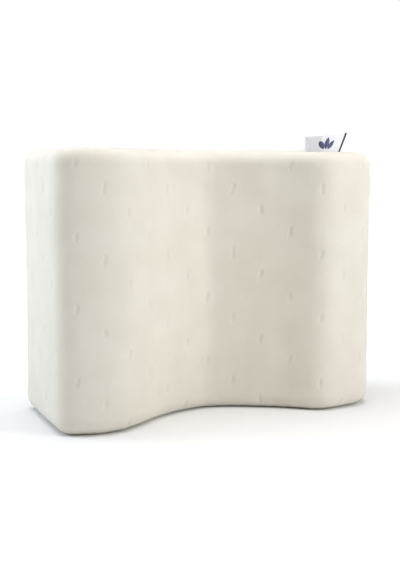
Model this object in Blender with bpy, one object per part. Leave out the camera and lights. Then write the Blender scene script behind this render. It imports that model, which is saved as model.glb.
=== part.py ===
"""Contoured foam support cushion in a zipped knit cover, standing on one profile end.

X runs along the cushion's length, left to right, and Z is up. The scooped front faces -Y and the
flat back faces +Y. The origin is under the middle of the whole cushion, on the floor. Inside the
cover are a thin liner and a moulded foam core. The zip runs straight across the middle of the back.
"""

import math

import bmesh
import bpy
from mathutils import Matrix, Vector

MM = 0.001
GAP = 0.3 * MM  # clearance between pieces that touch on the real cushion

# Overall form. A depth is the distance from the flat back to the front.
LENGTH = 265 * MM
HEIGHT = 200 * MM
FRONT_MARKS = (  # share of the length from the left end, and the depth there
    (0.0, 111.5 * MM),
    (0.115, 117.5 * MM),
    (0.189, 113 * MM),
    (0.249, 101 * MM),
    (0.325, 82 * MM),
    (0.4, 70.5 * MM),
    (0.491, 62.5 * MM),
    (0.566, 67.5 * MM),
    (0.694, 85 * MM),
    (0.789, 107 * MM),
    (0.906, 99.5 * MM),
    (1.0, 94 * MM),
)
FRONT_SOFTNESS = 9 * MM  # half the stretch over which the line through the marks is averaged

# Roundings
LEFT_CORNER_RADIUS = 13.5 * MM
RIGHT_CORNER_RADIUS = 24 * MM
BACK_CORNER_RADIUS = 14 * MM
SHARPEST_CORNER_RADIUS = 0.5 * MM
RIM_RADIUS = 11 * MM

# Cover and liner
COVER_THICKNESS = 3.6 * MM
LINER_THICKNESS = 0.8 * MM
SEAM_PAST_ROUNDING = 1 * MM  # the seams lie on the flat, just past the rounded edges

# Flag label in the front seam of the top, over the right lobe
FLAG_FROM_RIGHT_END = 24 * MM
FLAG_TOP_WIDTH = 46 * MM  # along the cushion, before the seam's slant shortens it
FLAG_SLANT = 8 * MM  # how far the right edge leans outwards
FLAG_LEFT_HEIGHT = 11 * MM
FLAG_RIGHT_HEIGHT = 14.5 * MM
FLAG_THICKNESS = 1 * MM

# Care label on the lower back panel
CARE_WIDTH = 36 * MM
CARE_HEIGHT = 22 * MM
CARE_THICKNESS = 0.6 * MM
CARE_ABOVE_FLOOR = 38 * MM

# Zip. A level is how far a face lies outside the back's outer face, so inside it is negative.
LIP_THICKNESS = 1.6 * MM
LIP_OPENING = 10 * MM
TAPE_THICKNESS = 0.5 * MM
TAPE_WIDTH = 12 * MM
COIL_THICKNESS = 1.4 * MM
COIL_WIDTH = 2.4 * MM
COIL_CLEAR_OF_SEAM = 8 * MM
TOOTH_PITCH = 2 * MM
TOOTH_LENGTH = 1 * MM
STOP_LENGTH = 2 * MM
STOP_WIDTH = 2.9 * MM
STOP_THICKNESS = 1.6 * MM

# Zip slider and its pull tab
WEB_THICKNESS = 0.4 * MM
PLATE_THICKNESS = 0.8 * MM
FLANGE_THICKNESS = 0.8 * MM
SLIDER_LENGTH = 9.5 * MM
BRIDGE_LENGTH = 6.4 * MM
BRIDGE_WIDTH = 1.6 * MM
BRIDGE_THICKNESS = 0.9 * MM
TAB_THICKNESS = 1 * MM
TAB_WIDTH = 6 * MM
TAB_LENGTH = 24 * MM
TAB_PLAY = 0.4 * MM  # room round the tab's bar, under the bridge

# Fineness of the faceted surfaces
CORNER_STEPS = 6
FRONT_STEPS = 30
SOFTENING_STEPS = 8
RIM_STEPS = 4
FLAG_STEPS = 5
CUTTER_REACH = 2 * MM  # how far a cutter runs past what it cuts

# Levels of the zip's faces, worked outwards from the back's outer face
LIP_LEVEL = -LIP_THICKNESS
TAPE_TOP = LIP_LEVEL - GAP
TAPE_BOTTOM = TAPE_TOP - TAPE_THICKNESS
COIL_BOTTOM = TAPE_TOP + GAP
COIL_TOP = COIL_BOTTOM + COIL_THICKNESS
STOP_TOP = COIL_BOTTOM + STOP_THICKNESS
OUTER_PLATE_BOTTOM = COIL_TOP + GAP
OUTER_PLATE_TOP = OUTER_PLATE_BOTTOM + PLATE_THICKNESS
INNER_PLATE_TOP = TAPE_BOTTOM - GAP
INNER_PLATE_BOTTOM = INNER_PLATE_TOP - PLATE_THICKNESS
HINGE_LEVEL = OUTER_PLATE_TOP + TAB_PLAY + TAB_THICKNESS / 2
BRIDGE_INSIDE = HINGE_LEVEL + TAB_THICKNESS / 2 + TAB_PLAY
BRIDGE_TOP = BRIDGE_INSIDE + BRIDGE_THICKNESS

# Places that follow from the sizes
BACK_Y = (max(depth for _, depth in FRONT_MARKS) - BRIDGE_TOP) / 2
RIM_SEAM = RIM_RADIUS + SEAM_PAST_ROUNDING
SIDE_SEAM_X = LENGTH / 2 - BACK_CORNER_RADIUS - SEAM_PAST_ROUNDING
ZIP_Z = HEIGHT / 2
COIL_INNER_EDGE = WEB_THICKNESS / 2 + GAP
COIL_OUTER_EDGE = COIL_INNER_EDGE + COIL_WIDTH
COIL_END_X = SIDE_SEAM_X - COIL_CLEAR_OF_SEAM
SLIDER_HALF_WIDTH = COIL_OUTER_EDGE + GAP + FLANGE_THICKNESS
SLIDER_X = COIL_END_X - SLIDER_LENGTH / 2

KNIT = ((0.86, 0.83, 0.76), 0.95, 0.0)
LINING = ((0.90, 0.90, 0.88), 0.9, 0.0)
FOAM = ((0.93, 0.88, 0.70), 0.9, 0.0)
TAPE = ((0.85, 0.82, 0.75), 0.85, 0.0)
NYLON = ((0.84, 0.81, 0.74), 0.4, 0.0)
METAL = ((0.74, 0.74, 0.73), 0.35, 1.0)
SATIN = ((0.88, 0.88, 0.90), 0.5, 0.0)


def remove_everything():
    for thing in list(bpy.data.objects):
        bpy.data.objects.remove(thing, do_unlink=True)


def finish_object(name, mesh, look=None):
    """Put a mesh in the scene. With no look it is a cutter, which only shapes other pieces."""
    thing = bpy.data.objects.new(name, mesh)
    bpy.context.scene.collection.objects.link(thing)
    if look is None:
        thing.hide_render = True
        thing.display_type = "WIRE"
        return thing
    colour, roughness, metallic = look
    material = bpy.data.materials.new(name)
    material.use_nodes = True
    shader = material.node_tree.nodes["Principled BSDF"]
    shader.inputs["Base Color"].default_value = (*colour, 1)
    shader.inputs["Roughness"].default_value = roughness
    shader.inputs["Metallic"].default_value = metallic
    thing.data.materials.append(material)
    return thing


def mesh_from(shape, name):
    bmesh.ops.recalc_face_normals(shape, faces=shape.faces)
    mesh = bpy.data.meshes.new(name)
    shape.to_mesh(mesh)
    shape.free()
    return mesh


def block(name, low, high, look=None):
    """A box between two corners."""
    low, high = Vector(low), Vector(high)
    place = Matrix.Translation((low + high) / 2) @ Matrix.Diagonal((*(high - low), 1))
    shape = bmesh.new()
    bmesh.ops.create_cube(shape, size=1, matrix=place)
    return finish_object(name, mesh_from(shape, name), look)


def pushed(points, direction, look=None, name="cutter"):
    """A flat outline of 3-D points, extruded along a direction."""
    shape = bmesh.new()
    face = shape.faces.new([shape.verts.new(point) for point in points])
    grown = bmesh.ops.extrude_face_region(shape, geom=[face])["geom"]
    moved = [part for part in grown if isinstance(part, bmesh.types.BMVert)]
    bmesh.ops.translate(shape, verts=moved, vec=direction)
    return finish_object(name, mesh_from(shape, name), look)


def boolean(thing, operation, *others):
    for other in others:
        change = thing.modifiers.new(other.name, "BOOLEAN")
        change.operation = operation
        change.solver = "EXACT"
        change.object = other


def marked_depth(station):
    """Depth on the straight lines between the marks, which run on past both ends."""
    share = station / LENGTH
    for (start, before), (end, after) in zip(FRONT_MARKS, FRONT_MARKS[1:]):
        if share <= end or end == FRONT_MARKS[-1][0]:
            return before + (after - before) * (share - start) / (end - start)


def front_depth(station):
    """Depth of the cushion at a distance from its left end, with soft bends at the marks."""
    steps = range(-SOFTENING_STEPS, SOFTENING_STEPS + 1)
    depths = [marked_depth(station + FRONT_SOFTNESS * step / SOFTENING_STEPS) for step in steps]
    return sum(depths) / len(depths)


def front_point(station, inset, drop=0.0, turn=0.0, rise=1.0):
    """A point of the front line moved inwards. On a rounded corner, drop is how far the corner
    falls short of the front, and turn and rise are the cosine and sine of the corner's angle."""
    step = 0.1 * MM
    slope = (front_depth(station + step) - front_depth(station - step)) / (2 * step)
    inwards = Vector((slope * rise + turn, rise)).normalized()
    return Vector((station - LENGTH / 2, BACK_Y - front_depth(station) + drop)) + inset * inwards


def outline(inset):
    """The cushion's profile seen from above, a distance inside its outer surface."""
    points = []
    for step in range(CORNER_STEPS):
        angle = math.radians(90) * step / CORNER_STEPS
        reach = LEFT_CORNER_RADIUS * (1 - math.cos(angle))
        drop = LEFT_CORNER_RADIUS * (1 - math.sin(angle))
        points.append(front_point(reach, inset, drop, math.cos(angle), math.sin(angle)))
    first, last = LEFT_CORNER_RADIUS, LENGTH - RIGHT_CORNER_RADIUS
    for step in range(FRONT_STEPS + 1):
        points.append(front_point(first + (last - first) * step / FRONT_STEPS, inset))
    for step in range(CORNER_STEPS - 1, -1, -1):
        angle = math.radians(90) * step / CORNER_STEPS
        reach = RIGHT_CORNER_RADIUS * (1 - math.cos(angle))
        drop = RIGHT_CORNER_RADIUS * (1 - math.sin(angle))
        points.append(front_point(LENGTH - reach, inset, drop, -math.cos(angle), math.sin(angle)))
    radius = max(BACK_CORNER_RADIUS - inset, SHARPEST_CORNER_RADIUS)
    for side, start in ((1, 0), (-1, 90)):
        centre = Vector((side * (LENGTH / 2 - inset - radius), BACK_Y - inset - radius))
        for step in range(CORNER_STEPS + 1):
            angle = math.radians(start + 90 * step / CORNER_STEPS)
            points.append(centre + radius * Vector((math.cos(angle), math.sin(angle))))
    return points


def profile_solid(name, inset, low, high, rim=0.0, look=None):
    """The profile extruded upwards, with its top and bottom rims rounded."""
    thing = pushed([(x, y, low) for x, y in outline(inset)], (0, 0, high - low), look, name)
    if rim:
        shape = bmesh.new()
        shape.from_mesh(thing.data)
        rims = [edge for edge in shape.edges if abs(edge.verts[0].co.z - edge.verts[1].co.z) < GAP]
        bmesh.ops.bevel(
            shape, geom=rims, offset=rim, segments=RIM_STEPS, profile=0.5, affect="EDGES", material=-1
        )
        shape.to_mesh(thing.data)
        shape.free()
    thing.data.shade_smooth()
    thing.data.set_sharp_from_angle(angle=math.radians(40))
    return thing


def nested_solid(name, inset, look=None):
    """The whole cushion's form, shrunk by an inset on every side."""
    return profile_solid(name, inset, inset, HEIGHT - inset, RIM_RADIUS - inset, look)


def openings_for_panels(name, inset):
    """Cutters that open a shell above and below, where its end panels go."""
    edge = RIM_SEAM - GAP / 2
    depth = inset + COVER_THICKNESS + CUTTER_REACH
    above = profile_solid(name + "_above", edge, HEIGHT - depth, HEIGHT + CUTTER_REACH)
    below = profile_solid(name + "_below", edge, -CUTTER_REACH, depth)
    return above, below


def back_slab(name, half_length, low, high):
    """A cutter that holds a stretch of the back, from the rim seam outwards."""
    inner = BACK_Y - RIM_SEAM - CUTTER_REACH
    outer = BACK_Y + CUTTER_REACH
    return block(name, (-half_length, inner, low), (half_length, outer, high))


def make_foam_core():
    nested_solid("foam_core", COVER_THICKNESS + LINER_THICKNESS + 2 * GAP, FOAM)


def make_liner():
    outer = COVER_THICKNESS + GAP
    inner = outer + LINER_THICKNESS
    band = nested_solid("liner_band", outer, LINING)
    boolean(band, "DIFFERENCE", nested_solid("liner_hollow", inner))
    boolean(band, "DIFFERENCE", *openings_for_panels("liner_opening", outer))
    edge = RIM_SEAM + GAP / 2
    profile_solid("liner_top_panel", edge, HEIGHT - inner, HEIGHT - outer, look=LINING)
    profile_solid("liner_bottom_panel", edge, outer, inner, look=LINING)


def make_cover():
    hollow = nested_solid("cover_hollow", COVER_THICKNESS)
    ends = openings_for_panels("cover_opening", 0)
    tall = HEIGHT + CUTTER_REACH

    wrap = nested_solid("cover_front_wrap", 0, KNIT)
    back = back_slab("back_opening", SIDE_SEAM_X + GAP / 2, -CUTTER_REACH, tall)
    boolean(wrap, "DIFFERENCE", hollow, *ends, back)

    tape_reach = WEB_THICKNESS / 2 + GAP + TAPE_WIDTH + GAP
    rabbet = block(
        "tape_rabbet",
        (-LENGTH / 2, BACK_Y - COVER_THICKNESS - CUTTER_REACH, ZIP_Z - tape_reach),
        (LENGTH / 2, BACK_Y + LIP_LEVEL, ZIP_Z + tape_reach),
    )
    half = SIDE_SEAM_X - GAP / 2
    stretches = (
        ("cover_back_upper", ZIP_Z + LIP_OPENING / 2, tall),
        ("cover_back_lower", -CUTTER_REACH, ZIP_Z - LIP_OPENING / 2),
    )
    for name, low, high in stretches:
        panel = nested_solid(name, 0, KNIT)
        boolean(panel, "DIFFERENCE", hollow, *ends)
        boolean(panel, "INTERSECT", back_slab(name + "_stretch", half, low, high))
        boolean(panel, "DIFFERENCE", rabbet)

    edge = RIM_SEAM + GAP / 2
    profile_solid("cover_top_panel", edge, HEIGHT - COVER_THICKNESS, HEIGHT, look=KNIT)
    profile_solid("cover_bottom_panel", edge, 0, COVER_THICKNESS, look=KNIT)


def make_flag_label():
    """A folded label that follows the seam it is sewn into, with a slanted right edge."""
    right = LENGTH - FLAG_FROM_RIGHT_END
    left = right - FLAG_TOP_WIDTH
    shape = bmesh.new()
    rings = []
    for end, heights in ((right - FLAG_SLANT, (0, 0)), (right, (FLAG_LEFT_HEIGHT, FLAG_RIGHT_HEIGHT))):
        ring = []
        for side, steps in ((-1, range(FLAG_STEPS + 1)), (1, range(FLAG_STEPS, -1, -1))):
            for step in steps:
                share = step / FLAG_STEPS
                place = front_point(left + (end - left) * share, RIM_SEAM + side * FLAG_THICKNESS / 2)
                lift = heights[0] + (heights[1] - heights[0]) * share
                ring.append(shape.verts.new((*place, HEIGHT + GAP + lift)))
        rings.append(ring)
        shape.faces.new(ring)
    edges = [shape.edges.get((ring[i - 1], ring[i])) for ring in rings for i in range(len(ring))]
    bmesh.ops.bridge_loops(shape, edges=edges)
    finish_object("flag_label", mesh_from(shape, "flag_label"), SATIN)


def make_care_label():
    """A blank label sewn into the left-hand side seam, lying on the lower back panel."""
    left = -SIDE_SEAM_X + GAP
    low = (left, BACK_Y + GAP, CARE_ABOVE_FLOOR)
    high = (left + CARE_WIDTH, BACK_Y + GAP + CARE_THICKNESS, CARE_ABOVE_FLOOR + CARE_HEIGHT)
    block("care_label", low, high, SATIN)


def zip_block(name, along, across, levels, look=None):
    """A box placed by its range along the zip, its range above the zip's middle, and its levels."""
    low = (along[0], BACK_Y + levels[0], ZIP_Z + across[0])
    high = (along[1], BACK_Y + levels[1], ZIP_Z + across[1])
    return block(name, low, high, look)


def make_zip_side(name, side):
    """One tape with its row of teeth and its top stop. Side is 1 above the middle and -1 below."""
    inner = COIL_INNER_EDGE
    tape = sorted((side * inner, side * (inner + TAPE_WIDTH)))
    half = SIDE_SEAM_X - GAP
    zip_block("zip_tape_" + name, (-half, half), tape, (TAPE_BOTTOM, TAPE_TOP), TAPE)

    teeth = math.floor(2 * COIL_END_X / TOOTH_PITCH)
    root = inner + TOOTH_LENGTH
    tooth = ((0.0, root), (0.2, inner), (0.6, inner), (0.8, root))
    line = [(-COIL_END_X, COIL_OUTER_EDGE), (-COIL_END_X, root)]
    for number in range(teeth):
        for share, height in tooth[1 if number == 0 else 0:]:
            line.append((-COIL_END_X + TOOTH_PITCH * (number + share), height))
    line += [(COIL_END_X, root), (COIL_END_X, COIL_OUTER_EDGE)]
    points = [(x, BACK_Y + COIL_BOTTOM, ZIP_Z + side * z) for x, z in line]
    pushed(points, (0, COIL_THICKNESS, 0), NYLON, "zip_coil_" + name)

    stop = sorted((side * inner, side * (inner + STOP_WIDTH)))
    along = (COIL_END_X + GAP, COIL_END_X + GAP + STOP_LENGTH)
    zip_block("zip_top_stop_" + name, along, stop, (COIL_BOTTOM, STOP_TOP), METAL)


def make_bottom_stop():
    reach = COIL_INNER_EDGE + STOP_WIDTH
    along = (-COIL_END_X - GAP - STOP_LENGTH, -COIL_END_X - GAP)
    zip_block("zip_bottom_stop", along, (-reach, reach), (COIL_BOTTOM, STOP_TOP), METAL)


def make_slider():
    """Two plates joined by a web that runs between the coils, with a bridge that holds the tab."""
    wide = SLIDER_HALF_WIDTH
    channel = wide - FLANGE_THICKNESS
    web = WEB_THICKNESS / 2
    half = [
        (wide, OUTER_PLATE_TOP),
        (wide, COIL_BOTTOM),
        (channel, COIL_BOTTOM),
        (channel, OUTER_PLATE_BOTTOM),
        (web, OUTER_PLATE_BOTTOM),
        (web, INNER_PLATE_TOP),
        (wide, INNER_PLATE_TOP),
        (wide, INNER_PLATE_BOTTOM),
    ]
    section = half + [(-across, level) for across, level in reversed(half)]
    start = -SLIDER_LENGTH / 2
    points = [(start, level, across) for across, level in section]
    body = pushed(points, (SLIDER_LENGTH, 0, 0), METAL, "zip_slider_body")

    foot = OUTER_PLATE_TOP - PLATE_THICKNESS / 2
    out, inn = BRIDGE_LENGTH / 2, BRIDGE_LENGTH / 2 - BRIDGE_THICKNESS
    arch = [(-out, foot), (-out, BRIDGE_TOP), (out, BRIDGE_TOP), (out, foot)]
    arch += [(inn, foot), (inn, BRIDGE_INSIDE), (-inn, BRIDGE_INSIDE), (-inn, foot)]
    points = [(along, level, -BRIDGE_WIDTH / 2) for along, level in arch]
    bridge = pushed(points, (0, 0, BRIDGE_WIDTH), name="slider_bridge")
    boolean(body, "UNION", bridge)
    place = Vector((SLIDER_X, BACK_Y, ZIP_Z))
    body.location = place
    bridge.location = place
    return place


def make_pull_tab(slider_place):
    """The tab turns about its bar, under the bridge. At rest it lies along the closed teeth."""
    hinge = bpy.data.objects.new("tab_hinge", None)
    bpy.context.scene.collection.objects.link(hinge)
    hinge.location = slider_place + Vector((0, HINGE_LEVEL, 0))
    bar = TAB_THICKNESS / 2
    width = TAB_WIDTH / 2
    tab = block("zip_pull_tab", (bar - TAB_LENGTH, -bar, -width), (bar, bar, width), METAL)
    slot = BRIDGE_WIDTH / 2 + GAP
    swing = math.hypot(BRIDGE_LENGTH / 2, BRIDGE_TOP - HINGE_LEVEL) + GAP
    hole = block("tab_slot", (-swing, -2 * bar, -slot), (-bar, 2 * bar, slot))
    boolean(tab, "DIFFERENCE", hole)
    for thing in (tab, hole):
        thing.parent = hinge


def main():
    remove_everything()
    make_foam_core()
    make_liner()
    make_cover()
    make_flag_label()
    make_care_label()
    make_zip_side("upper", 1)
    make_zip_side("lower", -1)
    make_bottom_stop()
    make_pull_tab(make_slider())


main()
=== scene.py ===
"""A contoured foam cushion in a zipped, quilted knit cover, standing on one end in a white studio.

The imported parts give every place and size. Each cover panel is a grid laid over the cushion's
form: a run goes round the cushion and a rise goes up over its rims, both in metres along the cloth.
"""

import math

import bmesh
import bpy
import numpy as np
from mathutils import Matrix, Vector


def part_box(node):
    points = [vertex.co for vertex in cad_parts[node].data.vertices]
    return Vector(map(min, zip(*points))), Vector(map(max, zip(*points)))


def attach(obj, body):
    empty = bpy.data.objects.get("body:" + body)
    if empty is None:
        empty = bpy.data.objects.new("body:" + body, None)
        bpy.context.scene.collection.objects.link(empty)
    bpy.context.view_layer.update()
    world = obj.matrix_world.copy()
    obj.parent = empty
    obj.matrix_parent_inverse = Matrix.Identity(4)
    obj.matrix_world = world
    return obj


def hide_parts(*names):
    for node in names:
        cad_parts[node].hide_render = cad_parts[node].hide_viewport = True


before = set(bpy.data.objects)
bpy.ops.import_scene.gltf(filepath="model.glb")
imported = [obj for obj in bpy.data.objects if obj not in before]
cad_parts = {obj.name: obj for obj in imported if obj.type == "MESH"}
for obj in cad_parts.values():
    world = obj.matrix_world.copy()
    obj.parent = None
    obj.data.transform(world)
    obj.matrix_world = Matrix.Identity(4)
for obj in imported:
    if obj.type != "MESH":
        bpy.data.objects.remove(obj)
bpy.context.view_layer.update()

MM = 0.001

# Sizes that the frame gives
LOW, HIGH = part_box("cover_front_wrap")
HEIGHT = HIGH.z
BACK_LOW, BACK_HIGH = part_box("cover_back_upper")
BACK_Y = BACK_HIGH.y
SIDE_SEAM_X = BACK_HIGH.x
RIM_SEAM = HIGH.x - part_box("cover_top_panel")[1].x
FOAM_LOW, FOAM_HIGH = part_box("foam_core")
FOAM_INSET = FOAM_LOW.z
COIL_LOW, COIL_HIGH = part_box("zip_coil_upper")
LOWER_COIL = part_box("zip_coil_lower")
SLIDER_LOW, SLIDER_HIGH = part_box("zip_slider_body")
TAB_LOW, TAB_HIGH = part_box("zip_pull_tab")
FLAG_LOW, FLAG_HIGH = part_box("flag_label")
CARE_LOW, CARE_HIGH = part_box("care_label")
ZIP_Z = (COIL_LOW.z + LOWER_COIL[1].z) / 2
LIP_Z = BACK_LOW.z - ZIP_Z

# Cloth
SEAM_GAP = 0.15 * MM
RIM_RADIUS = 11 * MM
WALL = 3.0 * MM
CELL = 1.25 * MM
COARSE = 5 * MM
SEAM_DIP = 1.3 * MM
SEAM_WIDTH = 1.9 * MM
TOPSTITCH = 3.2 * MM
TOPSTITCH_DIP = 0.8 * MM
CLOUD_HEIGHT = 0.22 * MM
CLOUD_LENGTH = 34 * MM
PUCKER_HEIGHT = 0.3 * MM
PUCKER_REACH = 7 * MM
GATHER_PITCH = 9.5 * MM
WAVES = 9
ALL_SEWN = (True,) * 4
SWELL = {"wrap": 1.6 * MM, "top": 2.2 * MM, "bottom": 0.8 * MM, "back": 1.4 * MM}

# Leaf figures knitted into the cloth
FIGURE_COLUMN = 19.5 * MM
FIGURE_STEP = 16.7 * MM
FIGURE_ROW = 50 * MM
FIGURE_START = (52 * MM, 105.6 * MM)
FIGURE_LENGTH = 8.6 * MM
FIGURE_WIDTH = 3.4 * MM
FIGURE_DEPTH = 0.85 * MM


# ---------------------------------------------------------------- form

def foam_ring():
    """Corners of the foam's profile, in order round the cushion, as rows of x and y."""
    shape = bmesh.new()
    shape.from_mesh(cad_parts["foam_core"].data)
    bmesh.ops.remove_doubles(shape, verts=shape.verts, dist=0.01 * MM)
    foot = max(v.co.z for v in shape.verts if v.co.z < HEIGHT / 2)
    ring = [(v.co.x, v.co.y) for v in shape.verts if abs(v.co.z - foot) < 0.05 * MM]
    shape.free()
    middle_y = (FOAM_LOW.y + FOAM_HIGH.y) / 2 + 25 * MM
    ring.sort(key=lambda point: math.atan2(point[1] - middle_y, point[0]))
    return np.array(ring)


def even_ring(points, spacing):
    """A closed line resampled at an even spacing, and its length."""
    closed = np.vstack([points, points[:1]])
    run = np.concatenate([[0], np.cumsum(np.linalg.norm(np.diff(closed, axis=0), axis=1))])
    even = np.linspace(0, run[-1], round(run[-1] / spacing), endpoint=False)
    return np.column_stack([np.interp(even, run, closed[:, axis]) for axis in (0, 1)]), run[-1]


def softened(line, spacing, softness):
    """A closed line smoothed over a length, so that the facets of the solid melt away."""
    reach = np.arange(-round(4 * softness / spacing), round(4 * softness / spacing) + 1)
    weight = np.exp(-0.5 * (reach * spacing / softness) ** 2)
    weight /= weight.sum()
    return sum(share * np.roll(line, shift, axis=0) for share, shift in zip(weight, reach))


def outward(line):
    """Unit normals of a closed line that runs anticlockwise."""
    along = np.roll(line, -1, axis=0) - np.roll(line, 1, axis=0)
    normal = np.column_stack([along[:, 1], -along[:, 0]])
    return normal / np.linalg.norm(normal, axis=1, keepdims=True)


RING_STEP = 0.5 * MM
ring_line, _ = even_ring(foam_ring(), RING_STEP)
ring_line = softened(ring_line, RING_STEP, 2.5 * MM)
ring_line = ring_line + FOAM_INSET * outward(ring_line)
ring_line, RING_RUN = even_ring(ring_line, RING_STEP)
start = np.argmin(np.hypot(ring_line[:, 0] + SIDE_SEAM_X, ring_line[:, 1] - BACK_Y))
ring_line = np.roll(ring_line, -start, axis=0)
ring_normal = softened(outward(ring_line), RING_STEP, 1.0 * MM)
ring_normal /= np.linalg.norm(ring_normal, axis=1, keepdims=True)
ring_run = np.arange(len(ring_line)) * RING_RUN / len(ring_line)
WRAP_RUN = ring_run[np.argmin(np.hypot(ring_line[:, 0] - SIDE_SEAM_X, ring_line[:, 1] - BACK_Y))]

# Figures keep their spacing across the front, so their columns follow x there and the run elsewhere.
ring_steps = np.abs(np.roll(ring_line, -1, axis=0) - ring_line).max(axis=1)
ring_column = np.concatenate([[0], np.cumsum(ring_steps)[:-1]])
left_corner = np.argmin(ring_line[:, 0] + ring_line[:, 1])
ring_column -= ring_column[left_corner] - (ring_line[left_corner, 0] - LOW.x)


def around(run):
    """Point and outward normal of the profile at a run, and the figures' column coordinate."""
    run = np.mod(run, RING_RUN)
    stops = np.append(ring_run, RING_RUN)

    def at(values):
        return np.interp(run, stops, np.append(values, values[0]))

    point = np.stack([at(ring_line[:, axis]) for axis in (0, 1)], axis=-1)
    normal = np.stack([at(ring_normal[:, axis]) for axis in (0, 1)], axis=-1)
    column = np.interp(run, ring_run, ring_column)
    return point, normal, column


FLAT_RUN = RIM_SEAM - RIM_RADIUS
ARC_RUN = RIM_RADIUS * math.pi / 2
RISE_RUN = 2 * (FLAT_RUN + ARC_RUN) + HEIGHT - 2 * RIM_RADIUS


def upright(rise):
    """Inset and height of the cushion's side at a rise that starts at the lower rim seam."""
    half = np.minimum(rise, RISE_RUN - rise)
    turn = np.clip((half - FLAT_RUN) / RIM_RADIUS, 0, math.pi / 2)
    inset = np.maximum(FLAT_RUN - half, 0) + RIM_RADIUS * (1 - np.sin(turn))
    height = RIM_RADIUS * (1 - np.cos(turn)) + np.maximum(half - FLAT_RUN - ARC_RUN, 0)
    return inset, np.where(rise <= RISE_RUN / 2, height, HEIGHT - height)


def side_surface(run, rise):
    """Points of the cushion's side for grids of run and rise, with the figures' coordinates."""
    point, normal, column = around(run)
    inset, height = upright(rise)
    place = np.empty(run.shape + (3,))
    place[..., :2] = point - inset[..., None] * normal
    place[..., 2] = height
    return place, column, rise - FLAT_RUN - ARC_RUN + RIM_RADIUS


def profile_line(inset):
    """The closed profile moved inwards, as rows of x and y."""
    return ring_line - inset * ring_normal


def end_patch(across, back, inset, height):
    """Points of a profile-shaped panel. Across goes from left to right and back from front to back,
    both from 0 to 1, and the four sides meet at the profile's four rounded corners."""
    line = profile_line(inset)
    corners = [np.argmax(line @ np.array(way)) for way in ((-1, -1.0), (1, -0.8), (1, 1), (-1, 1))]
    front_left, front_right, back_right, back_left = corners
    twice = np.vstack([line, line])
    run = np.concatenate([[0], np.cumsum(np.linalg.norm(np.diff(twice, axis=0), axis=1))])

    def stretch(first, last, share):
        last += len(line) if last < first else 0
        place = run[first] + share * (run[last] - run[first])
        return np.stack([np.interp(place, run, twice[:, axis]) for axis in (0, 1)], axis=-1)

    front = stretch(front_left, front_right, across)
    rear = stretch(back_right, back_left, 1 - across)
    left = stretch(back_left, front_left, 1 - back)
    right = stretch(front_right, back_right, back)
    a, b = across[..., None], back[..., None]
    corner = [line[index] for index in corners]
    blend = (1 - b) * ((1 - a) * corner[0] + a * corner[1]) + b * ((1 - a) * corner[3] + a * corner[2])
    flat = (1 - b) * front + b * rear + (1 - a) * left + a * right - blend
    return np.concatenate([flat, np.full(across.shape + (1,), height)], axis=-1)


# ---------------------------------------------------------------- mesh helpers

def add_object(name, mesh, material, smooth=True):
    thing = bpy.data.objects.new(name, mesh)
    bpy.context.scene.collection.objects.link(thing)
    if material is not None:
        mesh.materials.append(material)
    if smooth:
        mesh.shade_smooth()
    return thing


def finish_shape(shape, name, material, smooth=True, recalc=True):
    if recalc:
        bmesh.ops.recalc_face_normals(shape, faces=shape.faces)
    mesh = bpy.data.meshes.new(name)
    shape.to_mesh(mesh)
    shape.free()
    return add_object(name, mesh, material, smooth)


def place_piece(piece, body, slot, *nodes):
    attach(piece, body)
    if nodes:
        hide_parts(*nodes)
    return piece


def add_grid(shape, points, layers=()):
    """A grid of faces through an array of points. Layers are pairs of a float layer and its array."""
    rows, columns = points.shape[:2]
    made = bmesh.ops.create_grid(shape, x_segments=columns - 1, y_segments=rows - 1, size=0.5)["verts"]
    for vert in made:
        column = round((vert.co.x + 0.5) * (columns - 1))
        row = round((vert.co.y + 0.5) * (rows - 1))
        for layer, values in layers:
            vert[layer] = float(values[row, column])
        vert.co = points[row, column]
    return made


def float_layers(shape, **fields):
    """New float layers on a shape's vertices, each with the array that fills it."""
    return [(shape.verts.layers.float.new(name), values) for name, values in fields.items()]


def read_layers(mesh, *names):
    """What float layers hold on a mesh's vertices, one column for each."""
    values = np.zeros((len(names), len(mesh.vertices)), np.float32)
    for name, row in zip(names, values):
        mesh.attributes[name].data.foreach_get("value", row)
    return values.T


def rounded(value, power):
    """A sine or cosine raised to a power that keeps its sign, which squares a circle's corners."""
    return math.copysign(abs(value) ** power, value)


def normals_of(points):
    """Unit normals of a grid of points, from its neighbours' directions."""
    normal = np.cross(np.gradient(points, axis=1), np.gradient(points, axis=0))
    return normal / np.linalg.norm(normal, axis=-1, keepdims=True)


def border_distance(points):
    """Rough distance along the cloth from each grid point to the nearest border."""
    across = np.linalg.norm(np.diff(points, axis=1), axis=-1)
    up = np.linalg.norm(np.diff(points, axis=0), axis=-1)
    from_left = np.concatenate([np.zeros((points.shape[0], 1)), np.cumsum(across, axis=1)], axis=1)
    from_low = np.concatenate([np.zeros((1, points.shape[1])), np.cumsum(up, axis=0)], axis=0)
    sides = [from_left, from_left[:, -1:] - from_left, from_low, from_low[-1:] - from_low]
    return np.minimum.reduce(sides), sides


# ---------------------------------------------------------------- cloth

CLOTH_FRAMES = 20


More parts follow.
